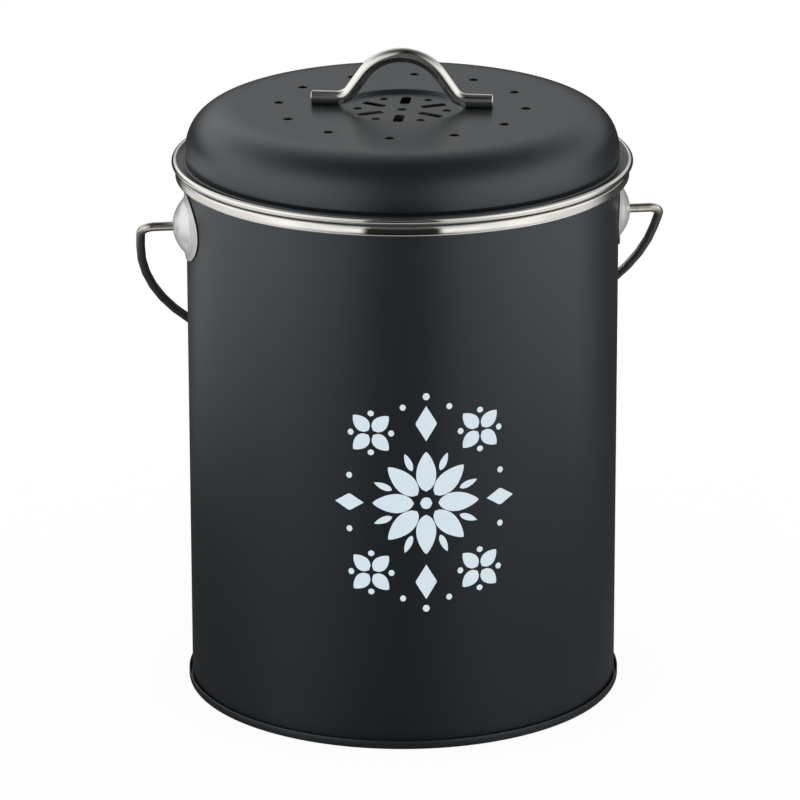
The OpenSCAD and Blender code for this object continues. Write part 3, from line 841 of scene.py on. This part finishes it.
def lid_dome():
    """The lid, with its rings of round vents and its slotted recess punched through."""
    lid = in_scene("lid_blank", lathe(sheet(lid_outline(), 0, LID_SHEET)))
    recess_z = LID_TOP - RECESS_DEPTH
    vent = punch(VENT_R, VENT_R, VENT_R, LID_TOP)
    hole = punch(VENT_R, VENT_R, VENT_R, recess_z)
    dot = punch(DOT_R, DOT_R, DOT_R, recess_z)
    slot = punch(SLOT_LEN / 2, SLOT_W / 2, SLOT_ROUND, recess_z)
    patterns = [
        (vent, VENT_COUNT, VENT_CIRCLE, 0), (hole, 1, 0, 0), (dot, SLOT_COUNT, DOT_CIRCLE, 0),
        (slot, SLOT_COUNT, SLOT_IN + SLOT_LEN / 2, math.pi / SLOT_COUNT)]
    copies = [on_circle(shape, "powder_black", count, radius, angle + LID_TURN)
              for shape, count, radius, angle in patterns]
    build = joined(copies)
    cutters = bpy.data.meshes.new("cutters")
    build.to_mesh(cutters)
    build.free()
    tool = in_scene("cutters", cutters)
    cut = lid.modifiers.new("punch", "BOOLEAN")
    cut.object = tool
    cut.operation = "DIFFERENCE"
    cut.solver = "EXACT"
    mesh = plain_mesh(lid)
    for helper in (lid, tool):
        bpy.data.objects.remove(helper)
    piece("lid_dome", flat_shaded(mesh), "powder_black", "lid", "lid_shell")


def flat_shaded(mesh):
    """The mesh with normals that follow its large faces, so that the flats round the holes stay flat."""
    mesh.polygons.foreach_set("use_smooth", [True] * len(mesh.polygons))
    mesh.set_sharp_from_angle(angle=PUNCHED_EDGE)
    holder = in_scene("shaded", mesh)
    even = holder.modifiers.new("even", "WEIGHTED_NORMAL")
    even.keep_sharp = True
    even.weight = 100
    made = plain_mesh(holder)
    bpy.data.objects.remove(holder)
    return made


def lid_ring():
    """The rolled bead that closes over the lid's edge and its collar."""
    tube = RING_D / 2
    start = math.acos((RING_IN - RING_C) / tube)
    points = [Vector((RING_C + tube * math.cos(a), RING_Z + tube * math.sin(a)))
              for a in (start - 2 * start * k / 40 for k in range(41))]
    piece("lid_ring", lathe(points), "polished_steel", "lid", "lid_trim_ring")


def lid_collar():
    """The bright inner flange and the wall that drops into the liner."""
    half = LID_SHEET / 2
    flange = high("lid_collar").z - half
    wall_r = collar_wall_r() - half
    foot = low("lid_collar").z
    path = bend([(LID_EDGE_R, flange, 0), (wall_r, flange, COLLAR_BEND), (wall_r, foot, 0)])
    piece("collar", lathe(sheet(path, half, half)), "polished_steel", "lid", "lid_collar")


def collar_wall_r():
    """Outer radius of the collar's drop wall, measured on the frame's node, well below its flange."""
    below = high("lid_collar").z - 2 * MM
    return max(v.co.xy.length for v in frame["nodes"]["lid_collar"].data.vertices if v.co.z < below)


def seal_ring():
    """The flat seal under the collar's flange."""
    z = low("lid_seal").z
    corners = ((SEAL_R - SEAL_W, z), (SEAL_R, z), (SEAL_R, z + SEAL_T), (SEAL_R - SEAL_W, z + SEAL_T))
    path = bend([(x, y, SEAL_ROUND) for x, y in corners], closed=True)
    piece("seal_ring", lathe(path), "silicone", "lid", "lid_seal")


def lid_handle():
    """The bright rod handle: straight feet, two foot bends, straight flanks and one round arch."""
    rod_z = LID_TOP + ROD_R - HANDLE_FLAT
    rise = HANDLE_TOP - ROD_R - rod_z
    across, along = math.sin(HANDLE_FLANK), math.cos(HANDLE_FLANK)
    arch_r = (HANDLE_FOOT_IN * across - rise * along) / (1 - along) - HANDLE_FOOT_BEND
    corner_x = HANDLE_FOOT_IN - HANDLE_FOOT_BEND * math.tan(HANDLE_FLANK / 2)
    apex = (0, corner_x * math.tan(HANDLE_FLANK), arch_r)
    half = [(-HANDLE_LEN / 2, 0, 0), (-corner_x, 0, HANDLE_FOOT_BEND)]
    path = bend(half + [apex] + [(-x, y, r) for x, y, r in half[::-1]])
    line, radii = rod_ends(path, ROD_R, HANDLE_CHAMFER)
    upright = Matrix.Translation((0, 0, rod_z)) @ Matrix.Rotation(math.pi / 2, 4, "X")
    stand = Matrix.Rotation(LID_TURN, 4, "Z") @ upright

    def place(point):
        """Stands a point of the rod on the lid, with a small flat where it would sink in."""
        placed = stand @ point
        placed.z = max(placed.z, LID_TOP)
        return placed

    piece("handle_rod", rod(line, radii, place), "polished_steel", "lid", "lid_handle")


# ---- liner and filter ----


def liner():
    """The lift-out plastic bucket: a tapered wall, a rounded foot and a lip that hangs on the rim."""
    lo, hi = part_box("liner_bucket")
    foot_r = LINER_R - LINER_TAPER
    neck = BAND_TOP - LINER_NECK
    soft = LINER_LIP_ROUND
    outer = [(0, lo.z, 0), (foot_r, lo.z, LINER_ROUND), (LINER_R, neck, LINER_NECK_BEND),
             (LINER_R, BAND_TOP, soft), (hi.x, BAND_TOP, soft), (hi.x, hi.z, soft)]
    in_r, in_z = LINER_R - LINER_WALL, lo.z + LINER_WALL
    inner = [(in_r, hi.z, LINER_MOUTH_ROUND), (in_r, neck, LINER_NECK_BEND),
             (foot_r - LINER_WALL, in_z, LINER_ROUND - LINER_WALL), (0, in_z, 0)]
    piece("liner", lathe(bend(outer + inner)), "liner_plastic", "liner", "liner_bucket")


def filter_disc():
    """The charcoal pad: a felt disc with a soft cut edge."""
    lo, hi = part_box("charcoal_filter")
    rim = bend([(0, lo.z, 0), (hi.x, lo.z, PAD_ROUND), (hi.x, hi.z, PAD_ROUND), (0, hi.z, 0)])
    rings = 22
    under = [Vector((hi.x * k / rings, lo.z)) for k in range(rings)]
    over = [Vector((p.x, hi.z)) for p in under[::-1]]
    felt = lathe(under + rim[1:-1] + over, PAD_STEPS)
    pad = piece("charcoal_pad", felt, "charcoal_felt", "lid", "charcoal_filter")


# ---- printed emblem ----


def blade(length, width, shape):
    """A flat motif that lies along X from the origin, as a fine grid, so that it can follow the wall.
    The shape gives its width, from 0 to 1, at each share of its length."""
    along = max(6, round(length / (0.9 * MM)))
    across = 6
    build = bmesh.new()
    layers = []
    for z in (-PRINT_SINK, PRINT_T):
        grid = []
        for i in range(along + 1):
            half = width / 2 * shape(i / along)
            grid.append([build.verts.new((length * i / along, half * (2 * j / across - 1), z))
                         for j in range(across + 1)])
        layers.append(grid)
    under, over = layers
    for i in range(along):
        for j in range(across):
            build.faces.new((over[i][j], over[i + 1][j], over[i + 1][j + 1], over[i][j + 1]))
            build.faces.new((under[i][j], under[i][j + 1], under[i + 1][j + 1], under[i + 1][j]))
        for j in (0, across):
            build.faces.new((under[i][j], under[i + 1][j], over[i + 1][j], over[i][j]))
    for i in (0, along):
        for j in range(across):
            build.faces.new((under[i][j], under[i][j + 1], over[i][j + 1], over[i][j]))
    bmesh.ops.remove_doubles(build, verts=build.verts, dist=1e-6)
    bmesh.ops.dissolve_degenerate(build, edges=build.edges, dist=1e-6)
    return mesh_of(build)


def petal(t):
    """Pointed at its root, fullest near its middle."""
    return math.sin(math.pi * t ** 0.8) ** 0.75


def disc(t):
    """Round."""
    return math.sqrt(max(0.0, 1 - (2 * t - 1) ** 2))


def lozenge(t):
    """Four straight sides."""
    return 1 - abs(2 * t - 1)


def emblem():
    """A tile of petals, lozenges and dots, wrapped on the front of the wall."""
    parts = []

    def flower(across, up, count, length, width, start, turn=0.0, shape=petal):
        """Motifs set out round a point of the front."""
        made = on_circle(blade(length, width, shape), "print_ink", count, start, turn)
        made.transform(Matrix.Translation((across, up, 0)))
        parts.append(made)

    def mark(across, up, length, width, shape, turn=0.0):
        """One motif, its middle on a point of the front."""
        made = blade(length, width, shape)
        made.transform(Matrix.Translation((across, up, 0)) @ Matrix.Rotation(turn, 4, "Z")
                       @ Matrix.Translation((-length / 2, 0, 0)))
        parts.append(made)

    flower(0, 0, 8, 17 * MM, 8.2 * MM, 5 * MM)
    flower(0, 0, 8, 8 * MM, 2.8 * MM, 15 * MM, math.pi / 8)
    mark(0, 0, 5 * MM, 5 * MM, disc)
    for side in (-1, 1):
        mark(side * 31.5 * MM, 0, 12 * MM, 7.5 * MM, lozenge)
        mark(0, side * 34 * MM, 15 * MM, 9 * MM, lozenge, math.pi / 2)
        mark(0, side * 45.5 * MM, 3 * MM, 3 * MM, disc)
        for end in (-1, 1):
            flower(side * 22.5 * MM, end * 30 * MM, 4, 9 * MM, 6 * MM, 1.3 * MM, math.pi / 4)
            flower(side * 22.5 * MM, end * 30 * MM, 4, 2.6 * MM, 2.6 * MM, 7 * MM, 0, disc)
            mark(side * 31.5 * MM, end * 11.5 * MM, 2.6 * MM, 2.6 * MM, disc)
            mark(side * 9.5 * MM, end * 41 * MM, 2.6 * MM, 2.6 * MM, disc)
    build = joined(parts)
    for vert in build.verts:
        angle = vert.co.x / BODY_R + PRINT_TURN
        r = BODY_R + vert.co.z
        vert.co = (r * math.sin(angle), -r * math.cos(angle), PRINT_Z + vert.co.y)
    piece("front_print", mesh_of(build), "print_ink", "body")


# ---- stage ----


def floor():
    """A white sweep. Looked at directly it is white but for the soft shadow under the object."""
    far = FLOOR_HALF
    corners = [(-far, -far, 0), (far, -far, 0), (far, far, 0), (-far, far, 0)]
    mesh = bpy.data.meshes.new("floor")
    mesh.from_pydata(corners, [], [(0, 1, 2, 3)])
    made = in_scene("floor", mesh)
    material = bpy.data.materials.new("sweep")
    material.use_nodes = True
    graph = Graph(material.node_tree)
    grey = (FLOOR_ALBEDO, FLOOR_ALBEDO, FLOOR_ALBEDO, 1)
    matt = graph.node("ShaderNodeBsdfDiffuse", {}, {"Color": grey})
    lit = graph.node("ShaderNodeEmission", {}, {"Color": (1, 1, 1, 1), "Strength": 1 - FLOOR_ALBEDO})
    seen = graph.node("ShaderNodeAddShader", {}, {0: matt, 1: lit})
    where = graph.node("ShaderNodeNewGeometry", {}, {}, "Position")
    mirrored = graph.node("ShaderNodeEmission", {}, {"Strength": floor_glow(graph, where)})
    ray = graph.node("ShaderNodeLightPath", {}, {}, "Is Glossy Ray")
    both = graph.node("ShaderNodeMixShader", {}, {0: ray, 1: seen, 2: mirrored})
    graph.node("ShaderNodeOutputMaterial", {}, {"Surface": both})
    mesh.materials.append(material)


def around(graph, where):
    """The bearing of a place about the object, from 0 behind by way of the left, 0.5 in front and the
    right to 1 behind, and its distance from the middle."""
    x = graph.node("ShaderNodeSeparateXYZ", {}, {"Vector": where}, "X")
    y = x.of("Y")
    ahead = x * -math.sin(VIEW_TURN) + y * -math.cos(VIEW_TURN)
    aside = x * math.cos(VIEW_TURN) + y * -math.sin(VIEW_TURN)
    return x.math("ARCTAN2", aside, ahead) / (2 * math.pi) + 0.5, (x * x + y * y) ** 0.5


def by_bearing(graph, bearing, levels):
    """A level that changes softly with the bearing, from (degrees, level) pairs, where 0 is in front."""
    stops = [((degrees + 180) / 360, level) for degrees, level in levels]
    return graph.node("ShaderNodeValToRGB", {"stops": stops}, {"Fac": bearing})


def floor_glow(graph, where):
    """What glossy surfaces see of the floor. Far off it is pale at both sides and dark in front and
    behind. Near the surface that mirrors it, it is dim, but for what a surface that leans outward sees
    of it. A strip of it, as far off as the rim sees it, is bright up to a sharp gap in front."""
    bearing, distance = around(graph, where)
    length = graph.node("ShaderNodeLightPath", {}, {}, "Ray Length")
    far = by_bearing(graph, bearing, (
        (-180, 0.02), (-150, 0.05), (-128, 0.75), (-62, 0.9), (-34, 0.45), (-21, 0.2), (-17, 0.0),
        (17, 0.0), (21, 0.2), (34, 0.45), (65, 0.85), (98, 0.75), (126, 0.06), (180, 0.02)))
    near = by_bearing(graph, bearing, (
        (-180, 0.0), (-90, 0.03), (-40, 0.05), (0, 0.0), (40, 0.11), (110, 0.08), (150, 0.02),
        (180, 0.0)))
    under = by_bearing(graph, bearing, (
        (-180, 0.0), (-120, 0.0), (-100, 0.7), (-21, 0.75), (-15, 0.55), (15, 0.55), (21, 0.75),
        (100, 0.7), (120, 0.0), (180, 0.0)))
    # how much nearer to the object a ray lands than one that an upright wall mirrors
    level_share = 0.955
    short = BODY_R + length * level_share - distance
    steep = graph.smooth(short, 0.045, 0.08) * graph.smooth(length, 0.22, 0.28)
    level = near + (far - near) * graph.smooth(length, 0.2, 0.82)
    strip = by_bearing(graph, bearing, (
        (-180, 0.0), (-80, 0.0), (-50, 0.3), (-34, 0.55), (-19.6, 0.85), (-17.2, 0.012), (17.2, 0.012),
        (19.6, 0.85), (34, 0.6), (50, 0.35), (80, 0.0), (180, 0.0)))
    reach = graph.smooth(length, 0.69, 0.75) * graph.smooth(length, 0.87, 1.1, 1.0, 0.55)
    return level + under * steep + strip * reach


def studio():
    """The surrounding light: plain white to the eye and on matt surfaces. Glossy surfaces see bright
    sides, a dark gap in front, a dim top, and a back that is dark low down."""
    world = bpy.data.worlds.new("studio")
    bpy.context.scene.world = world
    world.use_nodes = True
    world.cycles.sampling_method = "NONE"
    graph = Graph(world.node_tree)
    way = graph.node("ShaderNodeTexCoord", {}, {}, "Generated")
    bearing, _ = around(graph, way)
    up = graph.node("ShaderNodeSeparateXYZ", {}, {"Vector": way}, "Z")
    sides = by_bearing(graph, bearing, (
        (-180, 0.62), (-165, 1.0), (-60, 1.1), (-21, 0.7), (-16, 0.1), (16, 0.1), (21, 0.7), (60, 1.1),
        (105, 1.0), (126, 0.68), (150, 0.6), (180, 0.62)))
    behind = by_bearing(graph, bearing, (
        (-180, 1.0), (-135, 1.0), (-112, 0.0), (102, 0.0), (125, 1.0), (180, 1.0)))
    low_down = behind * graph.smooth(up, 0.08, 0.32, 1.0, 0.0)
    glow = sides * graph.smooth(up, 0.42, 1.0, 1.0, 0.06) * (1 - low_down)
    rays = graph.node("ShaderNodeLightPath", {}, {}, "Is Glossy Ray")
    level = 1 + rays * (glow - 1)
    light = graph.node("ShaderNodeBackground", {}, {"Color": (1, 1, 1, 1), "Strength": level})
    graph.node("ShaderNodeOutputWorld", {}, {"Surface": light})


def camera():
    """A long lens that looks down a little, from a little to the left of the front."""
    lens = bpy.data.cameras.new("camera")
    lens.sensor_width = SENSOR_MM
    lens.lens = LENS_MM
    made = in_scene("camera", lens)
    across, along = math.cos(VIEW_TURN), math.sin(VIEW_TURN)
    made.location = (VIEW_ASIDE * across - VIEW_BACK * along,
                     -VIEW_ASIDE * along - VIEW_BACK * across, VIEW_HEIGHT)
    level = Euler((math.pi / 2 - VIEW_PITCH, 0, -VIEW_TURN)).to_matrix()
    made.rotation_euler = (level @ Matrix.Rotation(VIEW_ROLL, 3, "Z")).to_euler()
    bpy.context.scene.camera = made


# ---- the whole ----

camera()
floor()
studio()
powder_coat()
polished_steel()
satin_ear()
drawn_wire()
moulded_plastic("liner_plastic", (0.034, 0.037, 0.04), 0.5, 0.5 * MM, 0.012 * MM)
moulded_plastic("black_plastic", (0.011, 0.012, 0.013), 0.45, 0.4 * MM, 0.015 * MM)
silicone()
charcoal_felt()
print_ink()

body_wall()
foot_pan()
rim_channel()
ear("ear_cap_left", -1, "ear_left")
ear("ear_cap_right", 1, "ear_right")
bail_wire()
lid_dome()
lid_ring()
lid_collar()
seal_ring()
lid_handle()
liner()
filter_disc()
emblem()

for node, coat in (("filter_holder", "black_plastic"), ("filter_cover", "black_plastic"),
                   ("handle_screws", "wire_steel"), ("handle_washers", "wire_steel")):
    mesh = frame["nodes"][node].data
    mesh.materials.clear()
    mesh.materials.append(FINISHES[coat])

bpy.context.scene.view_settings.view_transform = "Standard"
